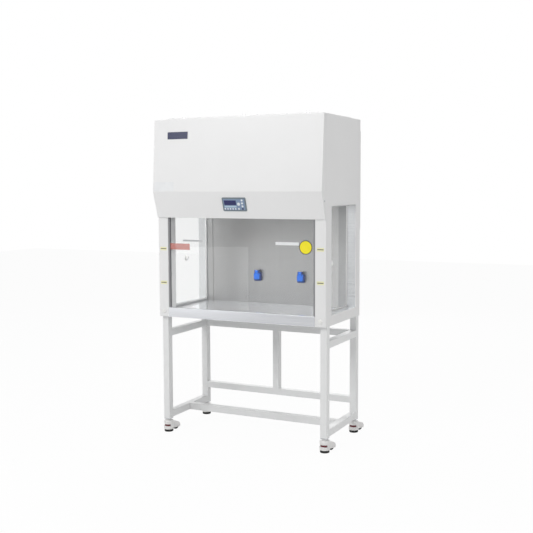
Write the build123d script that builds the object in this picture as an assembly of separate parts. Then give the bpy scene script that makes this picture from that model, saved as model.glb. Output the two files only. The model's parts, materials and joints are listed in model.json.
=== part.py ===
from build123d import *

import math
import os

# Vertical laminar flow hood on an open tube stand with levelling casters.
# Millimetres, +Z up, -Y is the front. The origin is on the floor, under the middle of the cabinet.

# Casters and stand
caster_height = 80.0
leg_length = 610.0
tube = 38.0
tube_wall = 1.8
leg_side_inset = 3.5
leg_front_inset = 26.0
leg_rear_inset = 4.5
upper_rail_drop = 83.0
lower_side_rail_rise = 4.0
lower_rear_rail_rise = 96.0
foot_rail_setback = 255.0
foot_plate = 4.0

# Cabinet sheet metal
cabinet_width = 1040.0
cabinet_depth = 515.0
cabinet_height = 1125.0
sheet = 1.5
column_width = 62.0
column_depth = 80.0
rear_flange = 30.0
window_sill = 55.0
window_drop = 481.0
rear_stile = 67.0
liner_top_margin = 66.0
liner_step = 3.0
liner_step_width = 40.0
back_space = 57.0
service_cover_depth = 8.0
service_cover_drop = 65.0
service_cover_height = 560.0
service_hole_margin = 60.0

# Glass
glass = 5.0
gasket_face = 8.0
gasket_thickness = 8.0
gasket_bite = 5.0
plug_flange_r = 15.0
plug_core_r = 11.0
plug_flange = 2.0
plug_knob = 9.0
plug_setback = 211.0
plug_height = 325.0

# Work table
table_height = 55.0
table_lip = 24.0
table_sink = 8.0
table_return = 18.0
table_rear_gap = 3.0

# Sash
sash_overlap = 42.5
sash_setback = 12.0
sash_lift = 0.5
guide_depth = 16.0
guide_width = 10.0
guide_bite = 8.0
glass_clearance = 0.4

# Front cover
cover_top_depth = 25.0
cover_crease_depth = 55.0
cover_bottom_depth = 8.0
cover_upper_height = 404.0
cover_slope_height = 148.0
cover_gap = 1.0
cover_side_gap = 0.5
bend_r = 3.0
hinge_drop = 3.5
hinge_knuckle_r = 3.2
hinge_pin_r = 2.0
hinge_leaf = 1.2
hinge_leaf_height = 24.0
hinge_length = 90.0
hinge_inset = 140.0
hinge_gap = 0.15
hinge_leaf_gap = 0.5
hinge_segments = 5
lock_drop = 455.0
lock_setback = 21.0
lock_head_r = 6.0
lock_head = 3.0
lock_shank_r = 3.0
lock_shank = 7.0

# Control panel
panel_x = -6.0
panel_width = 146.0
panel_height = 78.0
panel_drop = 73.0
panel_raise = 4.0
panel_box_depth = 24.0
panel_rim = 8.0
panel_corner_r = 6.0
panel_edge = 1.0
overlay_corner_r = 3.0
overlay_thickness = 1.5
screen_width = 74.0
screen_height = 27.0
screen_x = -24.0
screen_y = 10.0
key_rise = 0.6
key_r = 3.5
large_key_r = 8.0

# Top intake
intake_side_inset = 40.0
intake_setback = 50.0
intake_rear_inset = 45.0
intake_frame = 28.0
intake_height = 12.0
intake_mesh = 6.0
intake_knob_r = 8.0
intake_knob = 12.0
intake_knob_inset = 95.0
intake_edge = 2.0
intake_knob_edge = 2.0
intake_knob_setback = 75.0
intake_hole_margin = 40.0

# Filter and blower
diffuser_drop = 475.0
diffuser_rim = 12.0
diffuser_slots = 14
diffuser_rows = 5
slot_margin = 6.0
slot_length = 50.0
slot_width = 6.0
filter_height = 69.0
filter_wall = 15.0
filter_setback = 26.0
pleats = 40
pleat_skin = 5.0
pleat_clear = 2.0
plenum_height = 70.0
blower_wheel_r = 95.0
blower_wheel_width = 80.0
blower_blades = 30
blade_depth = 22.0
blade_thickness = 1.6
blade_sweep = 12.0
blade_bow_out = 1.5
blade_bow_in = 4.0
fan_rim = 3.0
fan_hub = 40.0
scroll_gap = 6.0
scroll_growth = 60.0
scroll_wall = 1.5
scroll_start = 240.0
scroll_points = 8
blower_rise = 145.0
motor_r = 55.0
motor_length = 95.0
motor_flange = 4.0
motor_edge = 8.0
motor_grooves = 3
motor_groove = 6.0
motor_groove_depth = 3.0
motor_groove_pitch = 20.0
shaft_r = 6.0
shaft_stop = 5.0
running = 0.05

# Lamps
lamp_r = 13.0
lamp_drop = 36.0
lamp_setback = 60.0
lamp_spacing = 60.0
holder_thickness = 10.0
holder_width = 32.0
holder_below = 9.0
holder_corner_r = 8.0

# Waterproof sockets
socket_xs = (-105.0, 180.0)
socket_rise = 212.0
socket_width = 42.0
socket_height = 62.0
socket_depth = 20.0
socket_recess_r = 16.0
socket_recess = 9.0
socket_recess_drop = 4.0
socket_corner_r = 6.0
socket_edge = 1.5
socket_pin_r = 2.5
socket_pin_depth = 6.0
socket_pin_spacing = 19.0
lid_width = 38.0
lid_height = 44.0
lid_depth = 9.0
lid_wall = 2.0
ear_width = 6.0
ear_spacing = 22.0
ear_reach = 5.0
ear_root = 8.0
ear_below = 9.0
ear_pin_r = 2.0
lid_axis_drop = 1.0
lid_axis_reach = 6.0
lid_gap = 0.4
lid_top_drop = 10.0
lid_bottom_drop = 8.0
lid_corner_r = 9.0
lid_edge = 3.0
lid_barrel_r = 4.0

# Column caps and power inlet
cap_r = 12.0
cap_rise = 30.0
cap_depth = 6.0
cap_edge = 3.0
cap_inset = 31.0
inlet_width = 50.0
inlet_height = 32.0
inlet_depth = 12.0
inlet_rise = 470.0
inlet_inset = 120.0
inlet_flange = 3.0
inlet_rim = 11.0
inlet_floor = 0.8
inlet_corner_r = 3.0
inlet_pin_pitch = 7.0
inlet_pin_width = 2.0
inlet_pin_height = 4.0
inlet_pin_length = 2.5
inlet_pin_raise = 2.0

# Levelling caster
trail_angle = 70.0
shell_r = 28.5
shell_top = 68.0
shell_bottom = 14.5
shell_fillet = 8.0
collar_r = 13.0
kingpin_r = 6.0
kingpin_drop = 14.0
plate_gap = 0.3
pad_r = 26.0
pad_thickness = 14.0
pad_stem_r = 4.0
pad_stem_top = 48.0
pad_travel = 8.0
pad_edge = 1.5
pad_stem_gap = 4.0
dial_r = 24.0
dial_bottom = 33.0
dial_top = 45.0
dial_notches = 12
dial_gap = 0.3
dial_notch_r = 2.4
dial_notch_out = 0.8
dial_edge = 1.0
wheel_trail = 48.0
wheel_r = 21.0
wheel_lift = 3.5
wheel_width = 18.0
wheel_side_gap = 1.5
wheel_edge = 2.5
wheel_dish = 2.5
fairing_wall = 4.0
fairing_rise = 2.0
fairing_shoulder = 11.0
fairing_taper = 3.0
axle_r = 3.0
shell_clear = 1.0

# Places that follow from the sizes above
front_y = -cabinet_depth / 2
rear_y = cabinet_depth / 2
half_w = cabinet_width / 2
base_z = caster_height + leg_length
top_z = base_z + cabinet_height
column_x = half_w - column_width
wall_x = column_x + sheet
window_y0 = front_y + column_depth
window_y1 = rear_y - rear_stile
window_z0 = base_z + window_sill
window_z1 = top_z - window_drop
liner_y = rear_y - back_space
liner_z1 = window_z1 + liner_top_margin
crease_z = top_z - cover_upper_height
cover_z0 = crease_z - cover_slope_height
table_z = base_z + table_height
leg_x = half_w - leg_side_inset - tube / 2
front_leg_y = front_y + leg_front_inset + tube / 2
rear_leg_y = rear_y - leg_rear_inset - tube / 2
diffuser_z = top_z - diffuser_drop
filter_z = diffuser_z + diffuser_rim
plenum_z = filter_z + filter_height
sash_y = front_y + sash_setback
filter_y0 = front_y + filter_setback
filter_y1 = liner_y - sheet
intake_x = half_w - intake_side_inset
intake_y0 = front_y + intake_setback
intake_y1 = rear_y - intake_rear_inset


def block(x, y, z):
    """Axis-aligned block between pairs of limits."""
    size = Box(x[1] - x[0], y[1] - y[0], z[1] - z[0])
    return Pos((x[0] + x[1]) / 2, (y[0] + y[1]) / 2, (z[0] + z[1]) / 2) * size


def rod(x, y, z, radius, length, direction="Z"):
    """Cylinder that starts at a point and runs along one axis."""
    turn = {"X": Rot(0, 90, 0), "Y": Rot(-90, 0, 0), "Z": Rot(0, 0, 0)}[direction]
    return Pos(x, y, z) * turn * Pos(0, 0, length / 2) * Cylinder(radius, length)


def mirrored(shape):
    return mirror(shape, about=Plane.YZ)


def pair(shape):
    return [shape, mirrored(shape)]


def tube_run(x, y, z, direction):
    """Square tube between limits, open at both ends."""
    outer = block(x, y, z)
    spans = {"X": x, "Y": y, "Z": z}
    for name in spans:
        if name != direction:
            spans[name] = (spans[name][0] + tube_wall, spans[name][1] - tube_wall)
        else:
            spans[name] = (spans[name][0] - 1, spans[name][1] + 1)
    return outer - block(spans["X"], spans["Y"], spans["Z"])


def around(centre, size):
    return (centre - size / 2, centre + size / 2)


def stand_legs():
    legs = []
    for x in (-leg_x, leg_x):
        for y in (front_leg_y, rear_leg_y):
            legs.append(tube_run(around(x, tube), around(y, tube), (caster_height, base_z), "Z"))
    return legs


def stand_side_rails():
    upper = base_z - upper_rail_drop - tube
    lower = caster_height + lower_side_rail_rise
    run = (front_leg_y + tube / 2, rear_leg_y - tube / 2)
    rails = []
    for x in (-leg_x, leg_x):
        for z in (upper, lower):
            rails.append(tube_run(around(x, tube), run, (z, z + tube), "Y"))
    return rails


def stand_cross_members():
    """Two rear rails, the post between them and the foot rail between the lower side rails."""
    upper = base_z - upper_rail_drop - tube
    lower = caster_height + lower_rear_rail_rise
    run = (-leg_x + tube / 2, leg_x - tube / 2)
    rails = [tube_run(run, around(rear_leg_y, tube), (z, z + tube), "X") for z in (upper, lower)]
    post = tube_run(around(0, tube), around(rear_leg_y, tube), (lower + tube, upper), "Z")
    foot_y = front_y + foot_rail_setback
    foot_z = caster_height + lower_side_rail_rise
    foot = tube_run(run, (foot_y, foot_y + tube), (foot_z, foot_z + tube), "X")
    return rails + [post, foot]


def stand_foot_plates():
    plates = []
    for x in (-leg_x, leg_x):
        for y in (front_leg_y, rear_leg_y):
            plate = block(around(x, tube), around(y, tube), (caster_height - foot_plate, caster_height))
            pin = rod(x, y, caster_height - foot_plate - kingpin_drop, kingpin_r, kingpin_drop)
            plates.append(plate + pin)
    return plates


def side_panel():
    """Right outer sheet: web with the window hole, front column folds and rear flange."""
    z = (base_z, top_z)
    web = block((half_w - sheet, half_w), (front_y, rear_y), z)
    window = block((half_w - 2 * sheet, half_w + 1), (window_y0, window_y1), (window_z0, window_z1))
    face = block((column_x, half_w), (front_y, front_y + sheet), z)
    fold = block((column_x, column_x + sheet), (front_y, window_y0), (base_z, top_z - sheet))
    flange = block((half_w - rear_flange, half_w), (rear_y - sheet, rear_y), z)
    panel = (web - window) + face + fold + flange
    corners = panel.edges().filter_by(Axis.Z).group_by(Axis.Y)[0]
    return fillet(corners, sheet * 0.9)


def window_frame():
    """Right inner skin with the four returns that line the window."""
    skin = block((wall_x, wall_x + sheet), (window_y0 - sheet, liner_y), (base_z + sheet, liner_z1))
    hole_y = (window_y0, window_y1)
    hole_z = (window_z0, window_z1)
    ring_y = (window_y0 - sheet, window_y1 + sheet)
    ring_z = (window_z0 - sheet, window_z1 + sheet)
    ring = block((wall_x, half_w - sheet), ring_y, ring_z)
    hole = block((wall_x - 1, half_w), hole_y, hole_z)
    return skin + ring - hole


def gasket_outline():
    x = (wall_x + sheet, wall_x + sheet + gasket_thickness)
    return x, (window_y0, window_y1), (window_z0, window_z1)


def glass_gasket():
    x, y, z = gasket_outline()
    inner_y = (y[0] + gasket_face, y[1] - gasket_face)
    inner_z = (z[0] + gasket_face, z[1] - gasket_face)
    ring = block(x, y, z) - block((x[0] - 1, x[1] + 1), inner_y, inner_z)
    return ring - side_glass_blank()


def side_glass_blank():
    x, y, z = gasket_outline()
    rim = gasket_face - gasket_bite
    span_y = (y[0] + rim, y[1] - rim)
    span_z = (z[0] + rim, z[1] - rim)
    return block(around(sum(x) / 2, glass), span_y, span_z)


def plug_centre():
    x, _, _ = gasket_outline()
    return sum(x) / 2, front_y + plug_setback, base_z + plug_height


def side_glass():
    x, y, z = plug_centre()
    hole = rod(x - glass, y, z, plug_core_r, 2 * glass, "X")
    return side_glass_blank() - hole


def glass_plug():
    x, y, z = plug_centre()
    core = rod(x - glass / 2, y, z, plug_core_r - running, glass, "X")
    inner = rod(x - glass / 2 - plug_knob, y, z, plug_flange_r, plug_knob, "X")
    outer = rod(x + glass / 2, y, z, plug_flange_r, plug_flange, "X")
    inner = fillet(inner.edges().sort_by(Axis.X)[0], plug_knob / 2)
    outer = chamfer(outer.edges().sort_by(Axis.X)[-1], plug_flange / 3)
    return core + inner + outer


def service_cover_heights():
    high = top_z - service_cover_drop
    return high - service_cover_height, high


def back_panel():
    """Flat rear sheet inside the side panels' flanges, with the service hole."""
    y = (rear_y - 2 * sheet, rear_y - sheet)
    sheet_x = half_w - sheet
    plate = block((-sheet_x, sheet_x), y, (base_z + sheet, top_z - sheet))
    low, high = service_cover_heights()
    low += service_hole_margin
    high -= service_hole_margin
    hole_x = half_w - 2 * service_hole_margin
    return plate - block((-hole_x, hole_x), (y[0] - 1, y[1] + 1), (low, high))


def rear_cover():
    """Shallow pan that closes the service hole and stands proud of the back."""
    z = service_cover_heights()
    pan = block((-half_w, half_w), (rear_y, rear_y + service_cover_depth), z)
    inner_x = half_w - sheet
    inner_z = (z[0] + sheet, z[1] - sheet)
    hollow = block((-inner_x, inner_x), (rear_y - 1, rear_y + service_cover_depth - sheet), inner_z)
    pan = fillet(pan.edges().filter_by(Axis.Z).group_by(Axis.Y)[-1], sheet * 0.9)
    return pan - hollow


def back_liner():
    """Stainless back wall of the work space, with a raised margin beside each corner."""
    z = (base_z + sheet, diffuser_z)
    plate = block((-wall_x, wall_x), (liner_y - sheet, liner_y), z)
    for side in (-1, 1):
        x = sorted((side * wall_x, side * (wall_x - liner_step_width)))
        plate += block(x, (liner_y - liner_step - sheet, liner_y - sheet), z)
    return plate


def top_panel():
    """Roof sheet with the intake hole and a folded front flange."""
    z = (top_z - sheet, top_z)
    inner_x = half_w - sheet
    roof = block((-inner_x, inner_x), (front_y + sheet, rear_y - sheet), z)
    flange_z = (top_z - 2 * hinge_leaf_height, top_z)
    flange = block((-column_x, column_x), (front_y, front_y + sheet), flange_z)
    hole_x = intake_x - intake_hole_margin
    hole_y = (intake_y0 + intake_hole_margin, intake_y1 - intake_hole_margin)
    hole = block((-hole_x, hole_x), hole_y, (z[0] - 1, z[1] + 1))
    return roof + flange - hole


def base_pan():
    """Floor sheet of the cabinet, notched for the table's apron."""
    inner_x = half_w - sheet
    pan = block((-inner_x, inner_x), (front_y + sheet, rear_y - sheet), (base_z, base_z + sheet))
    notch = block((-column_x, column_x), (front_y, front_y + table_return), (base_z - 1, table_z))
    fold_x = (column_x, column_x + sheet)
    folds = block(fold_x, (front_y, window_y0), (base_z - 1, table_z))
    pan = pan - notch - folds - mirrored(folds)
    rear = block((-inner_x, inner_x), (rear_y - 2 * sheet, rear_y), (base_z - 1, table_z))
    return pan - rear


def worktable():
    """One folded tray: apron with a bottom return, flat front lip and a sunk work surface."""
    y0 = front_y
    y1 = liner_y - sheet - table_rear_gap
    outline = [
        (y0 + table_return, base_z),
        (y0, base_z),
        (y0, table_z),
        (y0 + table_lip, table_z),
        (y0 + table_lip + table_sink / 2, table_z - table_sink),
        (y1, table_z - table_sink),
    ]
    inner = [
        (y1, table_z - table_sink - sheet),
        (y0 + table_lip + table_sink / 2 - sheet / 2, table_z - table_sink - sheet),
        (y0 + table_lip - sheet / 2, table_z - sheet),
        (y0 + sheet, table_z - sheet),
        (y0 + sheet, base_z + sheet),
        (y0 + table_return, base_z + sheet),
    ]
    line = Plane.YZ * Polyline(*[(y, z) for y, z in outline + inner], close=True)
    tray = extrude(make_face(line), amount=wall_x, both=True)
    tray = fillet(tray.edges().filter_by(Axis.X).group_by(Axis.Y)[0].sort_by(Axis.Z)[-1], sheet * 0.9)
    notch = block((column_x, wall_x + 1), (y0 - 1, window_y0), (base_z - 1, table_z + 1))
    return tray - notch - mirrored(notch)


def sash_guide():
    """Right channel that the sash slides in."""
    x = (column_x - guide_width, column_x)
    z = (table_z, top_z - sheet)
    channel = block(x, around(sash_y, guide_depth), z)
    groove_x = (x[0] - 1, x[0] + guide_bite)
    return channel - block(groove_x, around(sash_y, glass + 2 * glass_clearance), (z[0] - 1, z[1] + 1))


def sash_glass():
    reach = column_x - guide_width + guide_bite - glass_clearance
    z = (table_z + sash_lift, cover_z0 + sash_overlap)
    pane = block((-reach, reach), around(sash_y, glass), z)
    return chamfer(pane.edges().filter_by(Axis.X).group_by(Axis.Z)[0], glass / 6)


def cover_points(rear):
    return [
        (rear, top_z),
        (front_y - cover_top_depth, top_z),
        (front_y - cover_crease_depth, crease_z),
        (front_y - cover_bottom_depth, cover_z0),
        (rear, cover_z0),
    ]


def cover_face(rear):
    return make_face(Plane.YZ * Polyline(*cover_points(rear), close=True))


def front_cover():
    """One folded sheet: flat upper face, sloped lower face and side returns."""
    reach = half_w - cover_side_gap
    outer = extrude(cover_face(front_y - cover_gap), amount=reach, both=True)
    outer = fillet(outer.edges().filter_by(Axis.X).group_by(Axis.Y)[0], bend_r)
    top_edge = outer.edges().filter_by(Axis.X).group_by(Axis.Z)[-1].sort_by(Axis.Y)[0]
    outer = fillet(top_edge, bend_r)
    open_face = offset(cover_face(front_y + 4 * sheet), amount=-sheet, kind=Kind.INTERSECTION)
    inner = extrude(open_face, amount=reach - sheet, both=True)
    notch_y = (front_y - hinge_drop * 2, front_y + 1)
    notch = block((-half_w, half_w), notch_y, (top_z - hinge_drop * 2.3, top_z + 1))
    opening = panel_plane() * Box(panel_width - 2 * panel_rim, panel_height - 2 * panel_rim, 4 * sheet)
    return outer - inner - notch - opening - pair(lock_hole())


def slope_direction():
    run = cover_crease_depth - cover_bottom_depth
    length = math.hypot(run, cover_slope_height)
    return run / length, -cover_slope_height / length


def panel_plane():
    """Plane on the cover's slope, with its x to the right and its z outwards."""
    dy, dz = slope_direction()
    centre = (panel_x, front_y - cover_crease_depth + dy * panel_drop, crease_z + dz * panel_drop)
    return Plane(origin=centre, x_dir=(1, 0, 0), z_dir=(0, dz, -dy))


def control_panel():
    """Moulded bezel on the slope with its electronics box behind the sheet."""
    plate = Pos(0, 0, panel_raise / 2) * Box(panel_width, panel_height, panel_raise)
    plate = fillet(plate.edges().filter_by(Axis.Z), panel_corner_r)
    plate = chamfer(plate.faces().sort_by(Axis.Z)[-1].edges(), panel_edge)
    rim = 2 * panel_rim + 2 * cover_side_gap
    housing = Pos(0, 0, -panel_box_depth / 2) * Box(panel_width - rim, panel_height - rim, panel_box_depth)
    return panel_plane() * (plate + housing - overlay_blank())


def overlay_blank():
    size = Box(panel_width - 2 * panel_rim, panel_height - 2 * panel_rim, overlay_thickness)
    size = fillet(size.edges().filter_by(Axis.Z), overlay_corner_r)
    return Pos(0, 0, panel_raise - overlay_thickness / 2) * size


def screen_blank():
    size = Box(screen_width, screen_height, overlay_thickness)
    return Pos(screen_x, screen_y, panel_raise - overlay_thickness / 2) * size


def key_places():
    """Centre and radius of each key: a column of three, a row of five, a large one and two low ones."""
    column_x_place = panel_width / 2 - 23.0
    row_y = panel_rim + 6.0 - panel_height / 2
    column_keys = [(column_x_place, 24.0 - 17.0 * i, key_r + 1) for i in range(3)]
    row_keys = [(-58.0 + 16.0 * i, row_y, key_r) for i in range(5)]
    return column_keys + row_keys + [(28.0, 2.5, large_key_r), (26.0, row_y, key_r), (50.0, row_y, key_r)]


def panel_overlay():
    """Keypad sheet with domed keys, one moulding."""
    plate = overlay_blank() - screen_blank()
    for x, y, radius in key_places():
        dome = Pos(x, y, panel_raise + key_rise / 2) * Cylinder(radius, key_rise)
        plate += dome
    return panel_plane() * plate


def panel_screen():
    return panel_plane() * screen_blank()


def hinge_knuckle_spans(start, moving):
    step = hinge_length / hinge_segments
    spans = []
    for i in range(hinge_segments):
        if (i % 2 == 1) == moving:
            spans.append((start + i * step + hinge_gap, start + (i + 1) * step - hinge_gap))
    return spans


def hinge_start():
    return half_w - hinge_inset - hinge_length / 2


def hinge_axis():
    return front_y - hinge_drop, top_z - hinge_drop


def cover_hinge_fixed():
    """Leaf on the roof's front flange, its knuckles and the pin."""
    y, z = hinge_axis()
    start = hinge_start()
    leaf_z = (z - hinge_leaf_height, z - hinge_knuckle_r - hinge_leaf_gap)
    leaf = block((start, start + hinge_length), (front_y - hinge_leaf, front_y), leaf_z)
    part = leaf + rod(start, y, z, hinge_pin_r, hinge_length, "X")
    for x0, x1 in hinge_knuckle_spans(start, False):
        part += rod(x0, y, z, hinge_knuckle_r, x1 - x0, "X")
        part += block((x0, x1), (y, front_y), (z - hinge_knuckle_r - 1, z))
    return part


def cover_hinge_moving():
    """Leaf under the cover's top return, with the knuckles between the fixed ones."""
    y, z = hinge_axis()
    start = hinge_start()
    leaf_z = (top_z - sheet - hinge_leaf, top_z - sheet)
    leaf_y = (front_y - cover_top_depth + 2 * bend_r, y - hinge_knuckle_r - hinge_leaf_gap)
    part = block((start, start + hinge_length), leaf_y, leaf_z)
    for x0, x1 in hinge_knuckle_spans(start, True):
        part += block((x0, x1), (leaf_y[0], y), leaf_z)
        part += rod(x0, y, z, hinge_knuckle_r, x1 - x0, "X")
    return part - rod(start - 1, y, z, hinge_pin_r + running, hinge_length + 2, "X")


def lock_hole():
    place = (half_w - cover_side_gap - 2 * sheet, front_y - lock_setback, top_z - lock_drop)
    return rod(*place, lock_shank_r + running, 3 * sheet, "X")


def cover_lock():
    x = half_w - cover_side_gap
    y = front_y - lock_setback
    z = top_z - lock_drop
    head = rod(x, y, z, lock_head_r, lock_head, "X")
    head = chamfer(head.edges().sort_by(Axis.X)[-1], lock_head / 3)
    return head + rod(x - lock_shank, y, z, lock_shank_r, lock_shank, "X")


def intake_frame_part():
    """Folded frame that holds the coarse filter on the roof."""
    frame = block((-intake_x, intake_x), (intake_y0, intake_y1), (top_z, top_z + intake_height))
    frame = chamfer(frame.faces().sort_by(Axis.Z)[-1].edges(), intake_edge)
    x, y = intake_inside()
    return frame - block(x, y, (top_z - 1, top_z + intake_height + 1))


def intake_inside():
    inner_x = intake_x - intake_frame
    return (-inner_x, inner_x), (intake_y0 + intake_frame, intake_y1 - intake_frame)


def intake_mesh_part():
    x, y = intake_inside()
    return block(x, y, (top_z, top_z + intake_mesh))


def intake_knobs():
    z = top_z + intake_height
    knobs = []
    spacing = intake_x - intake_knob_inset
    for x in (-spacing, 0, spacing):
        knob = rod(x, front_y + intake_knob_setback, z, intake_knob_r, intake_knob)
        knobs.append(fillet(knob.edges().sort_by(Axis.Z)[-1], intake_knob_edge))
    return knobs


def diffuser_panel():
    """Slotted outlet tray under the filter."""
    y = (filter_y0, filter_y1)
    tray = block((-column_x, column_x), y, (diffuser_z, filter_z))
    inner_x = column_x - sheet
    tray -= block((-inner_x, inner_x), (y[0] + sheet, y[1] - sheet), (diffuser_z + sheet, filter_z + 1))
    pitch_x = 2 * (column_x - slot_margin) / diffuser_slots
    pitch_y = (y[1] - y[0] - 2 * slot_margin) / diffuser_rows
    slot_z = (diffuser_z - 1, diffuser_z + 2 * sheet)
    slots = []
    for i in range(diffuser_slots):
        for j in range(diffuser_rows):
            x = (i - (diffuser_slots - 1) / 2) * pitch_x
            mid_y = (y[0] + y[1]) / 2 + (j - (diffuser_rows - 1) / 2) * pitch_y
            slots.append(block(around(x, slot_length), around(mid_y, slot_width), slot_z))
    return tray - slots


def filter_limits():
    return (-column_x, column_x), (filter_y0, filter_y1), (filter_z, plenum_z)


def filter_frame():
    x, y, z = filter_limits()
    inner_x = (x[0] + filter_wall, x[1] - filter_wall)
    inner_y = (y[0] + filter_wall, y[1] - filter_wall)
    return block(x, y, z) - block(inner_x, inner_y, (z[0] - 1, z[1] + 1))


def filter_media():
    """Pleated pack, one zigzag drawn along the filter's depth."""
    x, y, z = filter_limits()
    x0 = x[0] + filter_wall
    pitch = (x[1] - x[0] - 2 * filter_wall) / pleats
    low = z[0] + pleat_clear + pleat_skin
    high = z[1] - pleat_clear
    top = []
    for i in range(2 * pleats + 1):
        top.append((x0 + i * pitch / 2, high if i % 2 else low))
    under = [(px, pz - pleat_skin) for px, pz in reversed(top)]
    face = make_face(Plane.XZ * Polyline(*(top + under), close=True))
    pack = extrude(face, amount=(y[1] - y[0]) / 2 - filter_wall, both=True)
    return Pos(0, (y[0] + y[1]) / 2, 0) * pack


def blower_axis():
    return (filter_y0 + filter_y1) / 2, plenum_z + plenum_height + blower_rise


def scroll_radius(angle):
    """Spiral that widens round the wheel towards the outlet."""
    return blower_wheel_r + scroll_gap + scroll_growth * angle / (2 * math.pi)


def scroll_solid(extra, x, floor):
    """Volute block: spiral from the cut-off over the top, then straight down to the floor."""
    y, z = blower_axis()
    start = math.radians(scroll_start)
    points = []
    for i in range(scroll_points + 1):
        angle = start * i / scroll_points
        radius = scroll_radius(angle) + extra
        points.append((y + radius * math.cos(start - angle), z + radius * math.sin(start - angle)))
    first, last = points[0], points[-1]
    path = [
        Spline(*points),
        Line(last, (last[0], floor)),
        Line((last[0], floor), (first[0], floor)),
        Line((first[0], floor), first),
    ]
    face = make_face(Plane.YZ * Curve(path))
    return Pos(x[0], 0, 0) * extrude(face, amount=x[1] - x[0], dir=(1, 0, 0))


def blower_half_width():
    return blower_wheel_width / 2 + scroll_gap


def blower_scroll():
    """Sheet volute with an inlet hole on one side and the motor's hole on the other."""
    y, z = blower_axis()
    floor = plenum_z + plenum_height
    half = blower_half_width()
    outer = scroll_solid(scroll_wall, (-half - scroll_wall, half + scroll_wall), floor)
    inner = scroll_solid(0, (-half, half), floor - 1)
    inlet = rod(-half - 2 * scroll_wall, y, z, blower_wheel_r - blade_depth, 3 * scroll_wall, "X")
    motor_hole = rod(half - scroll_wall, y, z, motor_r * 0.6, 3 * scroll_wall, "X")
    return outer - inner - inlet - motor_hole


def plenum_deck():
    """Pressure hood over the filter, with the blower's outlet hole in its roof."""
    x, y, _ = filter_limits()
    top = plenum_z + plenum_height
    hood = block(x, y, (plenum_z, top))
    inner_x = (x[0] + sheet, x[1] - sheet)
    hood -= block(inner_x, (y[0] + sheet, y[1] - sheet), (plenum_z - 1, top - sheet))
    half = blower_half_width()
    start = math.radians(scroll_start)
    axis_y, _ = blower_axis()
    hole_y = (axis_y + scroll_radius(0) * math.cos(start), axis_y + scroll_radius(start))
    return hood - block((-half, half), hole_y, (top - 2 * sheet, top + 1))


def fan_blade():
    """Forward-curved blade: a thin arc-walled strip between two radii."""
    inner_r = blower_wheel_r - blade_depth
    sweep = math.radians(blade_sweep)
    tip = (blower_wheel_r * math.cos(sweep), blower_wheel_r * math.sin(sweep))
    root = (inner_r, 0.0)
    middle = ((tip[0] + root[0]) / 2 + blade_bow_out, (tip[1] + root[1]) / 2 - blade_bow_in)
    front = ThreePointArc(root, middle, tip)
    back_root, back_middle, back_tip = [(x, y + blade_thickness) for x, y in (root, middle, tip)]
    back = ThreePointArc(back_tip, back_middle, back_root)
    return make_face(Curve([front, Line(tip, back_tip), back, Line(back_root, root)]))


def fan_wheel():
    """Drum wheel: hub, back disc, two rims and the ring of forward-curved blades."""
    inner_r = blower_wheel_r - blade_depth
    width = blower_wheel_width
    disc = Pos(0, 0, width - fan_rim / 2) * Cylinder(blower_wheel_r, fan_rim)
    ring = Pos(0, 0, fan_rim / 2) * (Cylinder(blower_wheel_r, fan_rim) - Cylinder(inner_r, fan_rim))
    hub = Pos(0, 0, width - fan_hub / 2) * Cylinder(shaft_r * 2.5, fan_hub)
    blade = extrude(fan_blade(), amount=width - fan_rim / 2, dir=(0, 0, 1))
    wheel = disc + ring + hub
    wheel += [Rot(0, 0, 360 * i / blower_blades) * blade for i in range(blower_blades)]
    wheel -= Pos(0, 0, width / 2) * Cylinder(shaft_r + running, 2 * width)
    y, z = blower_axis()
    return Pos(-width / 2, y, z) * Rot(0, 90, 0) * wheel


def fan_motor():
    """Motor on the volute's side: shaft, boss through the hole, flange and ribbed can."""
    y, z = blower_axis()
    face_x = blower_half_width() + scroll_wall
    flange = rod(face_x, y, z, motor_r * 0.9, motor_flange, "X")
    can = rod(face_x + motor_flange, y, z, motor_r, motor_length, "X")
    can = fillet(can.edges().sort_by(Axis.X)[-1], motor_edge)
    for i in range(motor_grooves):
        groove_x = face_x + motor_flange + motor_groove_pitch * (i + 1)
        groove = rod(groove_x, y, z, motor_r + 1, motor_groove, "X")
        can -= groove - rod(groove_x - 1, y, z, motor_r - motor_groove_depth, motor_groove + 2, "X")
    shaft_x = -blower_wheel_width / 2 + shaft_stop
    return flange + can + rod(shaft_x, y, z, shaft_r, face_x - shaft_x + motor_flange, "X")


def lamp_places():
    z = diffuser_z - lamp_drop
    y = front_y + lamp_setback
    return [(y, z), (y + lamp_spacing, z)]


def lamp_tubes():
    reach = column_x - holder_thickness
    tubes = []
    for y, z in lamp_places():
        tubes.append(rod(-reach, y, z, lamp_r, 2 * reach, "X"))
    return tubes


def lamp_holders():
    """Lamp holders that hang from the outlet tray, one at each end of each tube."""
    holders = []
    for y, z in lamp_places():
        x = (column_x - holder_thickness, column_x)
        holder = block(x, around(y, holder_width), (z - lamp_r - holder_below, diffuser_z))
        holder = fillet(holder.edges().filter_by(Axis.X).group_by(Axis.Z)[0], holder_corner_r)
        holders.extend(pair(holder))
    return holders


def socket_place(x):
    return Pos(x, liner_y - sheet, base_z + socket_rise)


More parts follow.
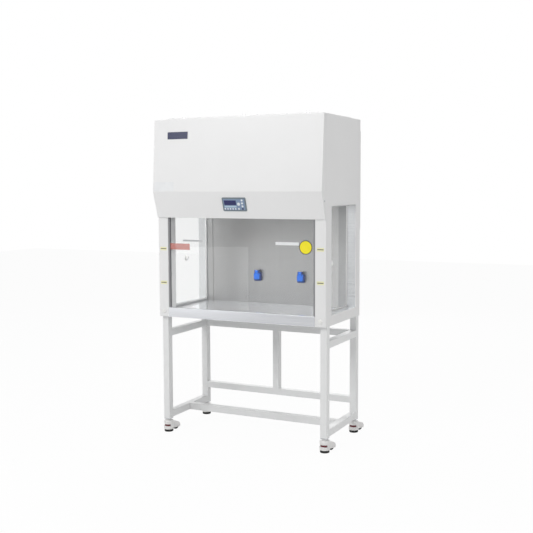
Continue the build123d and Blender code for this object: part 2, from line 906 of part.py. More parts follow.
def socket_base():
    """Housing with the round recess, pin holes and the two hinge ears."""
    body = Pos(0, -socket_depth / 2, 0) * Box(socket_width, socket_depth, socket_height)
    body = fillet(body.edges().filter_by(Axis.Y), socket_corner_r)
    body = chamfer(body.faces().sort_by(Axis.Y)[0].edges(), socket_edge)
    front = -socket_depth - 1
    body -= rod(0, front, -socket_recess_drop, socket_recess_r, socket_recess + 1, "Y")
    pin_depth = socket_recess + socket_pin_depth + 1
    for x in (-socket_pin_spacing / 2, socket_pin_spacing / 2):
        body -= rod(x, front, -socket_recess_drop, socket_pin_r, pin_depth, "Y")
    y, z = lid_axis()
    for x in (-ear_spacing / 2, ear_spacing / 2):
        ear_y = (y - ear_reach, -socket_depth + ear_root)
        ear = block(around(x, ear_width), ear_y, (z - ear_below, z + ear_reach))
        body += fillet(ear.edges().filter_by(Axis.X).group_by(Axis.Y)[0], ear_reach * 0.8)
    return body + rod(-ear_spacing / 2, y, z, ear_pin_r, ear_spacing, "X")


def lid_axis():
    return -socket_depth - lid_axis_reach, socket_height / 2 - lid_axis_drop


def socket_lid():
    """Domed lid with a skirt and the hinge barrel between the base's ears."""
    y, z = lid_axis()
    face = -socket_depth - lid_gap
    low = z - lid_bottom_drop - lid_height
    high = z - lid_top_drop
    lid = block(around(0, lid_width), (face - lid_depth, face), (low, high))
    lid = fillet(lid.edges().filter_by(Axis.Y), lid_corner_r)
    lid = fillet(lid.faces().sort_by(Axis.Y)[0].edges(), lid_edge)
    inner_y = (face - lid_depth + lid_wall, face + 1)
    inner = block(around(0, lid_width - 2 * lid_wall), inner_y, (low + lid_wall, high - lid_wall))
    lid -= fillet(inner.edges().filter_by(Axis.Y), lid_corner_r - lid_wall)
    span = ear_spacing - ear_width - 2 * lid_gap
    arm = block(around(0, span), around(y, 2 * lid_barrel_r), (high - lid_wall, z))
    barrel = rod(-span / 2, y, z, lid_barrel_r, span, "X")
    return lid + arm + barrel - rod(-span, y, z, ear_pin_r + running, 2 * span, "X")


def column_cap():
    x = half_w - cap_inset
    cap = rod(x, front_y - cap_depth, base_z + cap_rise, cap_r, cap_depth, "Y")
    return fillet(cap.edges().sort_by(Axis.Y)[0], cap_edge)


def power_inlet():
    """Flanged recessed inlet with three pins, in the rear sheet below the service cover."""
    plate_y = rear_y - sheet
    x = inlet_inset - half_w
    z = base_z + inlet_rise
    flange = block(around(x, inlet_width), (plate_y, plate_y + inlet_flange), around(z, inlet_height))
    flange = fillet(flange.edges().filter_by(Axis.Y), inlet_corner_r)
    inner_x = around(x, inlet_width - 2 * inlet_rim)
    inner_z = around(z, inlet_height - inlet_rim)
    inlet = flange - block(inner_x, (plate_y + inlet_floor, plate_y + inlet_flange + 1), inner_z)
    for i in (-1, 0, 1):
        pin_z = z + inlet_pin_raise * (0.5 - abs(i))
        pin_x = around(x + inlet_pin_pitch * i, inlet_pin_width)
        inlet += block(pin_x, (plate_y, plate_y + inlet_pin_length), around(pin_z, inlet_pin_height))
    return inlet


def caster_shell():
    """Swivel housing about its kingpin, wheel behind along +X before it is turned."""
    drum = Pos(0, 0, (shell_bottom + shell_top) / 2) * Cylinder(shell_r, shell_top - shell_bottom)
    drum = fillet(drum.edges().sort_by(Axis.Z)[-1], shell_fillet)
    wheel_z = wheel_lift + wheel_r
    half = wheel_width / 2 + wheel_side_gap + fairing_wall
    reach = wheel_trail + wheel_r + shell_clear + fairing_wall
    low = shell_bottom + fairing_rise
    start = (0, shell_top - fairing_rise)
    shoulder = (wheel_trail * 0.62, shell_top - fairing_shoulder)
    nose = (reach, wheel_z - fairing_rise)
    toe = (reach - fairing_taper, low)
    profile = [
        Line((0, low), start),
        Spline(start, shoulder, nose, tangents=[(1, 0), (0, -1)]),
        Line(nose, toe),
        Line(toe, (0, low)),
    ]
    fairing = extrude(make_face(Plane.XZ * Curve(profile)), amount=half, both=True)
    shell = drum + fairing
    well_r = wheel_r + shell_clear * 2
    slot = 2 * (wheel_width / 2 + wheel_side_gap)
    well = Pos(wheel_trail, 0, wheel_z) * Rot(90, 0, 0) * Cylinder(well_r, slot)
    below = block((wheel_trail - well_r, wheel_trail + well_r), around(0, slot), (-1, wheel_z))
    skirt_height = pad_thickness + pad_travel + shell_clear
    skirt = Pos(0, 0, skirt_height / 2) * Cylinder(pad_r + shell_clear, skirt_height)
    cavity_r = dial_r + shell_clear
    cavity = Pos(0, 0, (dial_bottom + dial_top) / 2) * Cylinder(cavity_r, dial_top - dial_bottom)
    window = block((-shell_r - 1, -cavity_r * 0.25), (-shell_r, shell_r), (dial_bottom, dial_top))
    stem_length = pad_stem_top + 2 * pad_travel + pad_stem_gap
    stem = Pos(0, 0, pad_stem_top / 2) * Cylinder(pad_stem_r + running, stem_length)
    shell = shell - well - below - skirt - cavity - window - stem
    collar_top = caster_height - foot_plate - plate_gap
    shell += rod(0, 0, shell_top - 2, collar_r, collar_top - shell_top + 2)
    pin_end = caster_height - foot_plate - kingpin_drop
    return shell - rod(0, 0, pin_end - 1, kingpin_r + running, caster_height - pin_end + 1)


def caster_axle():
    half = wheel_width / 2 + wheel_side_gap + fairing_wall
    axle = Rot(90, 0, 0) * Cylinder(axle_r, 2 * half)
    return Pos(wheel_trail, 0, wheel_lift + wheel_r) * axle


def caster_wheel():
    """Turned wheel with a raised hub and a rounded tread."""
    half = wheel_width / 2
    section = [
        (axle_r + running, -half),
        (wheel_r * 0.45, -half),
        (wheel_r * 0.55, -half + wheel_dish),
        (wheel_r * 0.72, -half + wheel_dish),
        (wheel_r * 0.8, -half),
        (wheel_r - wheel_edge, -half),
        (wheel_r, -half + wheel_edge),
    ]
    outline = section + [(r, -z) for r, z in reversed(section)]
    face = make_face(Plane.XZ * Polyline(*outline, close=True))
    wheel = Rot(90, 0, 0) * revolve(face, Axis.Z)
    return Pos(wheel_trail, 0, wheel_lift + wheel_r) * wheel


def caster_dial():
    """Thumb wheel with finger notches round its rim."""
    height = dial_top - dial_bottom - 2 * dial_gap
    dial = Cylinder(dial_r, height)
    dial = chamfer(dial.edges().filter_by(GeomType.CIRCLE), dial_edge)
    notch = Cylinder(dial_notch_r, 2 * height)
    for i in range(dial_notches):
        angle = 360 * (i + 0.5) / dial_notches
        dial -= Rot(0, 0, angle) * Pos(dial_r + dial_notch_out, 0, 0) * notch
    dial -= Cylinder(pad_stem_r + running, 2 * height)
    return Pos(0, 0, (dial_bottom + dial_top) / 2) * dial


def caster_pad():
    """Rubber-faced foot on its screw stem."""
    foot = Pos(0, 0, pad_thickness / 2) * Cylinder(pad_r, pad_thickness)
    foot = chamfer(foot.edges().filter_by(GeomType.CIRCLE), pad_edge)
    return foot + rod(0, 0, pad_thickness / 2, pad_stem_r, pad_stem_top - pad_thickness / 2)


def save(name, shapes):
    solids = shapes if isinstance(shapes, list) else [shapes]
    whole = solids[0] if len(solids) == 1 else Compound(solids)
    export_step(whole, f"parts/{name}.step")


def caster_places():
    return {
        "front_left": (-leg_x, front_leg_y),
        "front_right": (leg_x, front_leg_y),
        "rear_left": (-leg_x, rear_leg_y),
        "rear_right": (leg_x, rear_leg_y),
    }


def save_casters():
    pieces = {
        "shell": [caster_shell(), caster_axle()],
        "wheel": [caster_wheel()],
        "dial": [caster_dial()],
        "pad": [caster_pad()],
    }
    for corner, (x, y) in caster_places().items():
        place = Pos(x, y, 0) * Rot(0, 0, trail_angle)
        for name, shapes in pieces.items():
            save(f"caster_{corner}_{name}", [place * shape for shape in shapes])


def save_pair(name, shape):
    save(f"{name}_right", shape)
    save(f"{name}_left", mirrored(shape))


def save_all():
    os.makedirs("parts", exist_ok=True)
    save("stand_legs", stand_legs())
    save("stand_side_rails", stand_side_rails())
    save("stand_cross_members", stand_cross_members())
    save("stand_foot_plates", stand_foot_plates())
    save_casters()
    save_pair("side_panel", side_panel())
    save_pair("window_frame", window_frame())
    save_pair("side_glass", side_glass())
    save("glass_gaskets", pair(glass_gasket()))
    save("glass_plugs", pair(glass_plug()))
    save("back_panel", back_panel())
    save("rear_cover", rear_cover())
    save("back_liner", back_liner())
    save("top_panel", top_panel())
    save("base_pan", base_pan())
    save("worktable", worktable())
    save("sash_guides", pair(sash_guide()))
    save("sash_glass", sash_glass())
    save("front_cover", front_cover())
    save("cover_hinges_fixed", pair(cover_hinge_fixed()))
    save("cover_hinges_moving", pair(cover_hinge_moving()))
    save("cover_locks", pair(cover_lock()))
    save("control_panel", control_panel())
    save("panel_overlay", panel_overlay())
    save("panel_screen", panel_screen())
    save("intake_frame", intake_frame_part())
    save("intake_mesh", intake_mesh_part())
    save("intake_knobs", intake_knobs())
    save("diffuser_panel", diffuser_panel())
    save("filter_frame", filter_frame())
    save("filter_media", filter_media())
    save("plenum_deck", plenum_deck())
    save("blower_scroll", blower_scroll())
    save("fan_wheel", fan_wheel())
    save("fan_motor", fan_motor())
    save("lamp_tubes", lamp_tubes())
    save("lamp_holders", lamp_holders())
    save("socket_bases", [socket_place(x) * socket_base() for x in socket_xs])
    save("socket_lid_left", socket_place(socket_xs[0]) * socket_lid())
    save("socket_lid_right", socket_place(socket_xs[1]) * socket_lid())
    save("column_caps", pair(column_cap()))
    save("power_inlet", power_inlet())


save_all()
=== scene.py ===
import json
import math

import bmesh
import bpy
from mathutils import Matrix, Vector


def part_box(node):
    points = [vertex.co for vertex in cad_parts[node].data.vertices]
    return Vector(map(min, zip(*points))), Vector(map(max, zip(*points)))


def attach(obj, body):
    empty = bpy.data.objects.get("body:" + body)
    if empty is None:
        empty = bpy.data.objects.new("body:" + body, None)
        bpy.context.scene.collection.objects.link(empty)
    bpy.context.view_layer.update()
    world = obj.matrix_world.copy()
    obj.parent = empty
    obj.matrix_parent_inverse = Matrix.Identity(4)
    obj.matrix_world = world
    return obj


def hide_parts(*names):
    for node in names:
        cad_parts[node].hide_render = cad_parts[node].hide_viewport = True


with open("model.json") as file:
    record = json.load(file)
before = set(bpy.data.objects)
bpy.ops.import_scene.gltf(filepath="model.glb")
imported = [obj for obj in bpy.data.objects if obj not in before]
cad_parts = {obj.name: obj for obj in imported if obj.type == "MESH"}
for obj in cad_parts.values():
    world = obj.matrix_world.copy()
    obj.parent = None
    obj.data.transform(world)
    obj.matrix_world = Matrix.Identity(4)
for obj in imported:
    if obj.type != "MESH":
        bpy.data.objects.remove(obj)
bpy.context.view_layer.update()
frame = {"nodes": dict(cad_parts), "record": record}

# Lengths are in metres, angles in degrees and light powers in watts unless a name says otherwise.

# Camera, worked out from the photograph's perspective
IMAGE_SIZE = 533
FOCAL_PIXELS = 882.3
SENSOR_MM = 36.0
CAMERA_PLACE = (2.2787, -4.5524, 1.4326)
CAMERA_YAW = 26.133
CAMERA_PITCH = 5.121
CAMERA_ROLL = -0.214

# Light levels
KEY_POWER = 118
FILL_POWER = 48
TOP_POWER = 45
REAR_POWER = 45
LOW_POWER = 1.1
INNER_POWER = 4
WORLD_LEVEL = 0.34
FLOOR_GLOW = 0.96
FLOOR_REACH = 12.0
PURE_WHITE = (1, 1, 1, 1)

# Extents of the carried-over nodes that the added pieces sit on
COVER_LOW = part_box("front_cover")[0]
PANEL_LOW, PANEL_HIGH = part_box("side_panel_right")
SASH_LOW, SASH_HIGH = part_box("sash_glass")
REAR_LOW, REAR_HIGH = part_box("rear_cover")
ROOF_LOW, ROOF_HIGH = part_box("intake_frame")

FRONT_Y = PANEL_LOW[1]
TOP_Z = PANEL_HIGH[2]
SASH_FRONT = SASH_LOW[1]

# How far the cover's folded sheet stands out in front of the columns, and its crease's height
COVER_TOP_DEPTH = 0.025
CREASE_DEPTH = FRONT_Y - COVER_LOW[1]
COVER_BOTTOM_DEPTH = 0.008
CREASE_Z = TOP_Z - 0.404

# Directions in the shared frame
UP = (0, 0, 1)
FORWARD = (0, -1, 0)
BACKWARD = (0, 1, 0)
RIGHTWARD = (1, 0, 0)

# Materials
EDGE_RADIUS = 0.0016
EVEN = (1, 1, 1)
WHITE = (0.80, 0.80, 0.80)
LABEL_ROUGH = 0.5
LABEL_GRAIN = 300
LABEL_DEPTH = 0.03


def new_material(name):
    material = bpy.data.materials.new(name)
    material.use_nodes = True
    tree = material.node_tree
    tree.nodes.clear()
    out = tree.nodes.new("ShaderNodeOutputMaterial")
    shader = tree.nodes.new("ShaderNodeBsdfPrincipled")
    tree.links.new(shader.outputs[0], out.inputs[0])
    return material, tree, shader, out


def coordinates(tree, scale):
    place = tree.nodes.new("ShaderNodeTexCoord")
    mapping = tree.nodes.new("ShaderNodeMapping")
    mapping.inputs["Scale"].default_value = scale
    tree.links.new(place.outputs["Object"], mapping.inputs[0])
    return mapping.outputs[0]


def noise(tree, stretch, scale, detail=2.0, rough=0.5):
    """Noise over the object's own coordinates, each axis stretched by a factor."""
    node = tree.nodes.new("ShaderNodeTexNoise")
    node.inputs["Scale"].default_value = scale
    node.inputs["Detail"].default_value = detail
    node.inputs["Roughness"].default_value = rough
    tree.links.new(coordinates(tree, stretch), node.inputs["Vector"])
    return node.outputs["Fac"]


def spread(tree, value, low, high):
    """Maps the middle half of a noise onto the range from low to high."""
    node = tree.nodes.new("ShaderNodeMapRange")
    node.inputs["From Min"].default_value = 0.25
    node.inputs["From Max"].default_value = 0.75
    node.inputs["To Min"].default_value = low
    node.inputs["To Max"].default_value = high
    tree.links.new(value, node.inputs["Value"])
    return node.outputs[0]


def tinted(colour, factor):
    return tuple(min(1.0, c * factor) for c in colour)


def tone(tree, shader, value, colour, darkest, lightest):
    """Base colour that runs from a darker to a lighter tint as the value goes from 0 to 1."""
    node = tree.nodes.new("ShaderNodeMix")
    node.data_type = "RGBA"
    node.inputs[6].default_value = (*tinted(colour, darkest), 1)
    node.inputs[7].default_value = (*tinted(colour, lightest), 1)
    tree.links.new(value, node.inputs[0])
    tree.links.new(node.outputs[2], shader.inputs["Base Color"])


def rounded_edges(tree, radius):
    """Normals that shade sharp folds and cut edges as if they were rounded."""
    node = tree.nodes.new("ShaderNodeBevel")
    node.samples = 6
    node.inputs["Radius"].default_value = radius
    return node.outputs[0]


def bump(tree, shader, height, strength, distance, edges=None):
    node = tree.nodes.new("ShaderNodeBump")
    if edges:
        tree.links.new(edges, node.inputs["Normal"])
    node.inputs["Strength"].default_value = strength
    node.inputs["Distance"].default_value = distance
    tree.links.new(height, node.inputs["Height"])
    tree.links.new(node.outputs[0], shader.inputs["Normal"])


def mix_to_output(tree, out, share, first, second):
    """Sends a mix of two shaders to the output: all of the second where the share is 1."""
    mix = tree.nodes.new("ShaderNodeMixShader")
    tree.links.new(share, mix.inputs[0])
    tree.links.new(first, mix.inputs[1])
    tree.links.new(second, mix.inputs[2])
    tree.links.new(mix.outputs[0], out.inputs[0])


def enamel(name, colour, rough=0.38):
    """Powder-coated sheet: a fine orange peel and a faint uneven tone."""
    material, tree, shader, _ = new_material(name)
    wide = noise(tree, EVEN, 2.6, 3)
    fine = noise(tree, EVEN, 520, 2)
    tone(tree, shader, spread(tree, wide, 0, 1), colour, 0.975, 1.015)
    tree.links.new(spread(tree, fine, rough - 0.04, rough + 0.05), shader.inputs["Roughness"])
    bump(tree, shader, fine, 0.06, 0.0004, rounded_edges(tree, EDGE_RADIUS))
    shader.inputs["Specular IOR Level"].default_value = 0.45
    return material


def brushed(name, colour, rough, grain, depth=0.12, metal=1.0):
    """Brushed steel: long fine scratches along one axis, with a slow change in gloss."""
    material, tree, shader, _ = new_material(name)
    lines = noise(tree, grain, 1.0, 4, 0.62)
    broad = noise(tree, EVEN, 1.7, 2)
    tone(tree, shader, spread(tree, lines, 0, 1), colour, 0.86, 1.08)
    mixed = tree.nodes.new("ShaderNodeMath")
    mixed.operation = "ADD"
    tree.links.new(spread(tree, lines, -0.05, 0.06), mixed.inputs[0])
    tree.links.new(spread(tree, broad, rough - 0.03, rough + 0.04), mixed.inputs[1])
    tree.links.new(mixed.outputs[0], shader.inputs["Roughness"])
    bump(tree, shader, lines, depth, 0.0002)
    shader.inputs["Metallic"].default_value = metal
    shader.inputs["Anisotropic"].default_value = 0.35
    return material


def plastic(name, colour, rough, grain=900.0, depth=0.05, vary=0.03, gloss=0.5):
    """Moulded plastic: a fine spark texture and a slightly uneven tone."""
    material, tree, shader, _ = new_material(name)
    fine = noise(tree, EVEN, grain, 2)
    wide = noise(tree, EVEN, 24, 2)
    tone(tree, shader, spread(tree, wide, 0, 1), colour, 1 - vary, 1 + vary)
    tree.links.new(spread(tree, fine, rough - 0.04, rough + 0.04), shader.inputs["Roughness"])
    bump(tree, shader, fine, depth, 0.0003, rounded_edges(tree, EDGE_RADIUS / 2))
    shader.inputs["Specular IOR Level"].default_value = gloss
    return material


def label(name, colour):
    """Printed film or a painted plate."""
    return plastic(name, colour, LABEL_ROUGH, LABEL_GRAIN, LABEL_DEPTH)


def spangled(name, colour):
    """Galvanised sheet: crystal patches of slightly different tone and gloss."""
    material, tree, shader, _ = new_material(name)
    cells = tree.nodes.new("ShaderNodeTexVoronoi")
    cells.inputs["Scale"].default_value = 90
    tree.links.new(coordinates(tree, EVEN), cells.inputs["Vector"])
    split = tree.nodes.new("ShaderNodeSeparateColor")
    tree.links.new(cells.outputs["Color"], split.inputs[0])
    tone(tree, shader, split.outputs[0], colour, 0.82, 1.1)
    tree.links.new(spread(tree, split.outputs[1], 0.32, 0.5), shader.inputs["Roughness"])
    shader.inputs["Metallic"].default_value = 0.85
    return material


def clear_glass(name, colour):
    """Float glass that lets light through to what is behind it."""
    material, tree, shader, out = new_material(name)
    smear = noise(tree, EVEN, 5, 3)
    tree.links.new(spread(tree, smear, 0.0, 0.006), shader.inputs["Roughness"])
    shader.inputs["Base Color"].default_value = (*colour, 1)
    shader.inputs["IOR"].default_value = 1.45
    shader.inputs["Specular IOR Level"].default_value = 0.2
    shader.inputs["Transmission Weight"].default_value = 1.0
    path = tree.nodes.new("ShaderNodeLightPath")
    through = tree.nodes.new("ShaderNodeBsdfTransparent")
    through.inputs["Color"].default_value = (*tinted(colour, 0.97), 1)
    mix_to_output(tree, out, path.outputs["Is Shadow Ray"], shader.outputs[0], through.outputs[0])
    return material


def fibre(name, colour):
    """Nonwoven fibre mat."""
    material, tree, shader, _ = new_material(name)
    strands = noise(tree, EVEN, 260, 6, 0.75)
    tone(tree, shader, spread(tree, strands, 0, 1), colour, 0.8, 1.05)
    shader.inputs["Roughness"].default_value = 0.95
    bump(tree, shader, strands, 0.5, 0.002)
    return material


MATERIALS = {
    "white_enamel": enamel("white_enamel", WHITE),
    "stand_enamel": enamel("stand_enamel", (0.80, 0.805, 0.805), 0.34),
    "stainless": brushed("stainless", (0.60, 0.61, 0.62), 0.30, (3, 3, 900)),
    "table_steel": brushed("table_steel", (0.60, 0.61, 0.635), 0.20, (4, 700, 700), 0.12, 0.78),
    "liner_steel": brushed("liner_steel", (0.35, 0.35, 0.35), 0.36, (420, 420, 2)),
    "zinc": spangled("zinc", (0.60, 0.61, 0.62)),
    "steel": brushed("steel", (0.55, 0.56, 0.58), 0.3, (300, 300, 300), 0.05),
    "alloy": brushed("alloy", (0.72, 0.73, 0.74), 0.34, (200, 900, 900)),
    "clear_glass": clear_glass("clear_glass", (0.978, 0.982, 0.981)),
    "lamp_glass": plastic("lamp_glass", (0.86, 0.87, 0.88), 0.22, 400, 0.02, 0.01),
    "gasket": plastic("gasket", (0.66, 0.66, 0.66), 0.5),
    "white_plastic": plastic("white_plastic", (0.83, 0.83, 0.81), 0.3),
    "guide_plastic": plastic("guide_plastic", (0.24, 0.24, 0.25), 0.5),
    "panel_face": plastic("panel_face", (0.20, 0.27, 0.40), 0.45, 700),
    "panel_bezel": plastic("panel_bezel", (0.16, 0.20, 0.23), 0.45, 700),
    "screen": plastic("screen", (0.010, 0.014, 0.10), 0.12, 60, 0.01, 0.1),
    "blue_plastic": plastic("blue_plastic", (0.002, 0.095, 0.46), 0.5, gloss=0.15),
    "blue_shade": plastic("blue_shade", (0.002, 0.028, 0.17), 0.5, gloss=0.15),
    "filter_media": fibre("filter_media", (0.82, 0.82, 0.79)),
    "mesh": fibre("mesh", (0.62, 0.63, 0.64)),
    "ivory_nylon": plastic("ivory_nylon", (0.82, 0.81, 0.80), 0.35, 500, 0.06),
    "black_nylon": plastic("black_nylon", (0.006, 0.006, 0.007), 0.55, 500, 0.08),
    "black_rubber": plastic("black_rubber", (0.005, 0.005, 0.005), 0.8, 420, 0.2),
    "red_plastic": plastic("red_plastic", (0.13, 0.008, 0.014), 0.35),
    "dark_plastic": plastic("dark_plastic", (0.03, 0.03, 0.033), 0.45),
    "plate_navy": plastic("plate_navy", (0.012, 0.018, 0.07), 0.3, LABEL_GRAIN, LABEL_DEPTH),
    "label_pale": label("label_pale", (0.78, 0.79, 0.80)),
    "label_grey": label("label_grey", (0.42, 0.43, 0.44)),
    "label_cream": label("label_cream", (0.82, 0.80, 0.52)),
    "label_yellow": label("label_yellow", (0.90, 0.78, 0.01)),
    "label_red": label("label_red", (0.66, 0.22, 0.18)),
    "dark_line": label("dark_line", (0.14, 0.13, 0.10)),
    "key_light": plastic("key_light", (0.75, 0.78, 0.80), 0.4, 500, 0.03),
    "key_blue": plastic("key_blue", (0.45, 0.58, 0.70), 0.4, 500, 0.03),
}

# The red strip is a film that shows what is behind it
MATERIALS["label_red"].node_tree.nodes["Principled BSDF"].inputs["Alpha"].default_value = 0.5

# Nodes whose look differs from their slot's usual material
OWN_MATERIAL = {
    "worktable": "table_steel",
    "back_liner": "liner_steel",
    "control_panel": "panel_bezel",
    "glass_plugs": "white_plastic",
    "socket_bases": "blue_shade",
    "intake_knobs": "alloy",
}


def dress_nodes():
    """Gives each carried-over node the material of its slot, or its own."""
    for entry in frame["record"]["subparts"]:
        node, slot = entry["node"], entry["material_slot"]
        material = MATERIALS[OWN_MATERIAL.get(node, slot)]
        obj = frame["nodes"][node]
        obj.data.materials.clear()
        obj.data.materials.append(material)


def piece(name, mesh, material, body):
    obj = bpy.data.objects.new(name, mesh)
    bpy.context.scene.collection.objects.link(obj)
    obj.data.materials.append(MATERIALS[material])
    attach(obj, body)
    return obj


def plate_outline(width, height, radius, steps=5):
    """Corner points of a rounded rectangle, anticlockwise."""
    points = []
    for i, (sx, sy) in enumerate(((1, 1), (-1, 1), (-1, -1), (1, -1))):
        cx, cy = sx * (width / 2 - radius), sy * (height / 2 - radius)
        for k in range(steps + 1):
            angle = math.pi / 2 * (i + k / steps)
            points.append((cx + radius * math.cos(angle), cy + radius * math.sin(angle)))
    return points


def disc_outline(radius, steps=40):
    """Evenly spaced points on a circle, anticlockwise."""
    angles = [2 * math.pi * i / steps for i in range(steps)]
    return [(radius * math.cos(angle), radius * math.sin(angle)) for angle in angles]


def add_skin(bm, rings, place):
    """Adds a closed solid that runs through rings of (x, y, height) points, moved by a matrix."""
    loops = [[bm.verts.new(place @ Vector(point)) for point in ring] for ring in rings]
    bm.faces.new(list(reversed(loops[0])))
    bm.faces.new(loops[-1])
    for low, high in zip(loops, loops[1:]):
        for i in range(len(low)):
            k = (i + 1) % len(low)
            bm.faces.new((low[i], low[k], high[k], high[i]))


def shrunk(outline, levels):
    """Rings from an outline repeated at (inset, height) levels."""
    rings = []
    for inset, height in levels:
        ring = []
        for x, y in outline:
            factor = 1 - inset / math.hypot(x, y)
            ring.append((x * factor, y * factor, height))
        rings.append(ring)
    return rings


def closed_mesh(name, bm):
    mesh = bpy.data.meshes.new(name)
    bmesh.ops.recalc_face_normals(bm, faces=bm.faces)
    bm.to_mesh(mesh)
    bm.free()
    return mesh


def slab(name, outline, levels, place):
    """Closed solid from an outline repeated at (inset, height) levels."""
    bm = bmesh.new()
    add_skin(bm, shrunk(outline, levels), place)
    return closed_mesh(name, bm)


def facing(origin, normal, up=UP):
    """Matrix whose z is the normal and whose y is nearest to up."""
    z = Vector(normal).normalized()
    x = Vector(up).cross(z).normalized()
    y = z.cross(x)
    turn = Matrix((x, y, z)).transposed().to_4x4()
    return Matrix.Translation(origin) @ turn


def upper_face_matrix(x, z):
    """Place on the cover's upper face at a width and a height."""
    run = CREASE_DEPTH - COVER_TOP_DEPTH
    fall = TOP_Z - CREASE_Z
    y = FRONT_Y - COVER_TOP_DEPTH - run * (TOP_Z - z) / fall
    return facing((x, y, z), (0, -fall, run))


def panel_matrix():
    """The control panel's face: x to the right, y up the slope, z outwards."""
    run = CREASE_DEPTH - COVER_BOTTOM_DEPTH
    fall = CREASE_Z - COVER_LOW[2]
    overlay_low, overlay_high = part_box("panel_overlay")
    centre = (Vector(overlay_low) + Vector(overlay_high)) / 2
    return facing(centre, (0, -fall, -run))


def add_cover_plates():
    """Bare dark plate at the cover's upper left and bare pale plate at its lower left."""
    plates = [
        ("name_plate", -0.365, 1.724, 0.131, 0.040, "plate_navy", "screen",
         [(0, 0), (0, 0.0008), (0.0012, 0.0016)]),
        ("cover_label", -0.448, 1.439, 0.130, 0.052, "label_pale", "white_plastic",
         [(0, 0), (0.0003, 0.0006)]),
    ]
    for name, x, z, width, height, material, slot, levels in plates:
        mesh = slab(name, plate_outline(width, height, 0.003), levels, upper_face_matrix(x, z))
        piece(name, mesh, material, "cover")


def add_sash_labels():
    """Bare strips and a round sticker on the sash."""
    strips = [
        ("sash_strip_right", 0.291, 1.1305, 0.138, 0.017, 0.0022, "label_pale", "white_plastic"),
        ("sash_strip_left", -0.300, 1.1330, 0.126, 0.009, 0.0022, "label_grey", "white_plastic"),
        ("sash_strip_red", -0.3855, 1.0975, 0.133, 0.036, 0.0004, "label_red", "red_plastic"),
    ]
    for name, x, z, width, height, depth, material, slot in strips:
        levels = [(0, 0), (0, depth / 2), (0.0004, depth)]
        place = facing((x, SASH_FRONT, z), FORWARD)
        piece(name, slab(name, plate_outline(width, height, 0.002), levels, place), material, "sash")
    sticker_x, sticker_z = 0.400, 1.113
    rim_thickness = 0.0003
    rim_place = facing((sticker_x, SASH_FRONT, sticker_z), FORWARD)
    rim = slab("sash_disc_rim", disc_outline(0.038, 64), [(0, 0), (0.0002, rim_thickness)], rim_place)
    piece("sash_disc_rim", rim, "dark_plastic", "sash")
    disc_place = facing((sticker_x, SASH_FRONT - rim_thickness, sticker_z), FORWARD)
    disc = slab("sash_disc", disc_outline(0.034, 64), [(0, 0), (0.0002, 0.0002)], disc_place)
    piece("sash_disc", disc, "label_yellow", "sash")


def add_column_marks():
    """Small pale plates with a thin dark line, which mark two sash heights."""
    plate = plate_outline(0.042, 0.020, 0.003)
    plate_levels = [(0, 0), (0.0002, 0.0004)]
    line = plate_outline(0.036, 0.0045, 0.001)
    line_levels = [(0, 0.0004), (0.0001, 0.0006)]
    for side, x, heights in (("left", -0.489, (1.084, 0.888)), ("right", 0.489, (1.104, 0.926))):
        for level, z in zip(("high", "low"), heights):
            name = f"mark_{side}_{level}"
            place = facing((x, FRONT_Y, z), FORWARD)
            piece(name, slab(name, plate, plate_levels, place), "label_cream", "cabinet")
            name += "_line"
            piece(name, slab(name, line, line_levels, place), "dark_line", "cabinet")


def add_key_caps():
    """Printed faces of the keypad's domes, and the strip under the screen."""
    sheet_thickness = 0.0015
    dome_rise = 0.0006
    place = panel_matrix()
    keys = [("key_column", 0.050, 0.024 - 0.017 * i, 0.0058, "key_light") for i in range(3)]
    keys += [("key_row", -0.058 + 0.016 * i, -0.025, 0.0046, "key_light") for i in range(5)]
    keys += [
        ("key_large", 0.028, 0.0025, 0.0090, "key_light"),
        ("key_low", 0.026, -0.025, 0.0050, "key_light"),
        ("key_dark", 0.050, -0.025, 0.0050, "plate_navy"),
    ]
    key_levels = [(0, -0.0003), (0, 0.0001), (0.0006, 0.0006)]
    for i, (kind, x, y, radius, material) in enumerate(keys):
        name = f"{kind}_{i}"
        key_place = place @ Matrix.Translation((x, y, sheet_thickness / 2 + dome_rise / 2))
        mesh = slab(name, disc_outline(radius, 28), key_levels, key_place)
        piece(name, mesh, material, "cover")
    strip_place = place @ Matrix.Translation((-0.024, -0.0125, sheet_thickness / 2))
    strip_levels = [(0, -0.0003), (0.0002, 0.0003)]
    mesh = slab("panel_strip", plate_outline(0.074, 0.009, 0.001), strip_levels, strip_place)
    piece("panel_strip", mesh, "key_blue", "cover")


def ray_outline(corners, count):
    """Points where evenly spaced rays from the origin meet a polygon."""
    parallel = 1e-12
    slack = 1e-9
    points = []
    for i in range(count):
        angle = 2 * math.pi * i / count
        dx, dy = math.cos(angle), math.sin(angle)
        best = None
        for (x0, y0), (x1, y1) in zip(corners, corners[1:] + corners[:1]):
            ex, ey = x1 - x0, y1 - y0
            cross = dx * ey - dy * ex
            if abs(cross) < parallel:
                continue
            along = (x0 * ey - y0 * ex) / cross
            share = (x0 * dy - y0 * dx) / cross
            if along > 0 and -slack <= share <= 1 + slack and (best is None or along > best):
                best = along
        points.append((dx * best, dy * best))
    return points


# Socket housings: right half of the outline from top to bottom, around the housing's middle
SOCKET_RIGHT_HALF = [
    (0.0125, 0.0195), (0.0165, 0.0185), (0.0205, 0.0125), (0.0210, 0.0085),
    (0.0210, -0.0250), (0.0195, -0.0292), (0.0150, -0.0310),
]
SOCKET_POINTS = 96
SOCKET_MIDDLE_DROP = 0.035
SOCKET_DEPTH = 0.020
RECESS_RADIUS = 0.016
RECESS_DROP = 0.004
RECESS_DEPTH = 0.009


